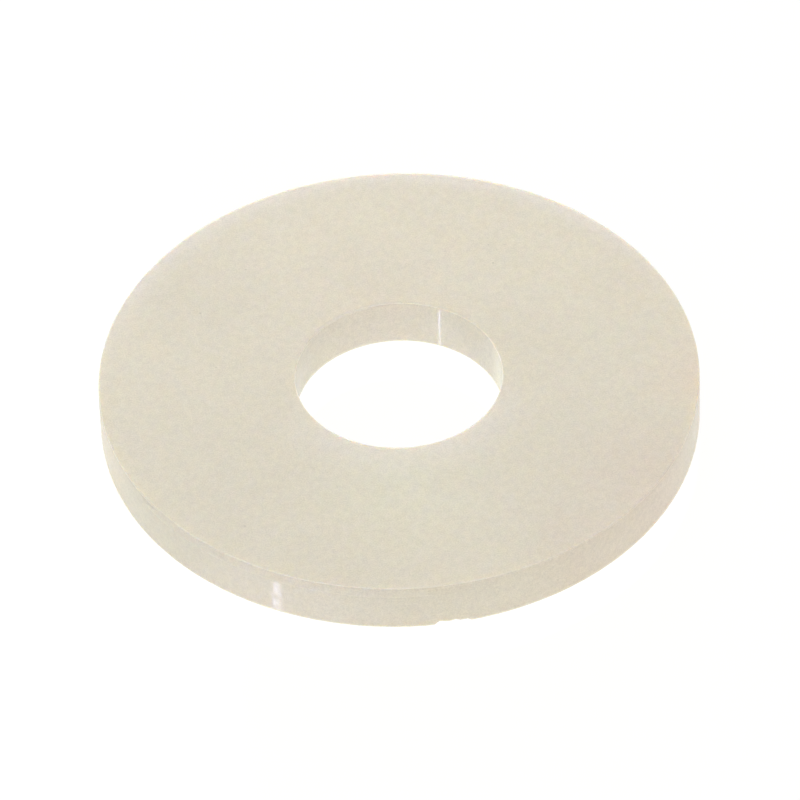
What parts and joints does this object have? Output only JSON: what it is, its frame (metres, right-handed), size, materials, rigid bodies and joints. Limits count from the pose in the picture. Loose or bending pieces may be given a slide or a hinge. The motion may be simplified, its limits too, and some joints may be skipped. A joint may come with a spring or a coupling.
{
  "type": "flat washer",
  "caption": "Flat round plastic washer with a wide face and a plain central hole, to spread and insulate a screw's clamping load.",
  "frame": {"origin": "on the bore's axis, at the underside", "axes": "+Z along the bore, towards the face with the ejector marks; -Y towards the gate scar on the rim"},
  "size_m": [0.024, 0.024, 0.0021],
  "materials": {
    "nylon": "as moulded: satin faces, glossier rim and bore"
  },
  "bodies": {
    "root": {"washer": "nylon"}
  },
  "joints": []
}
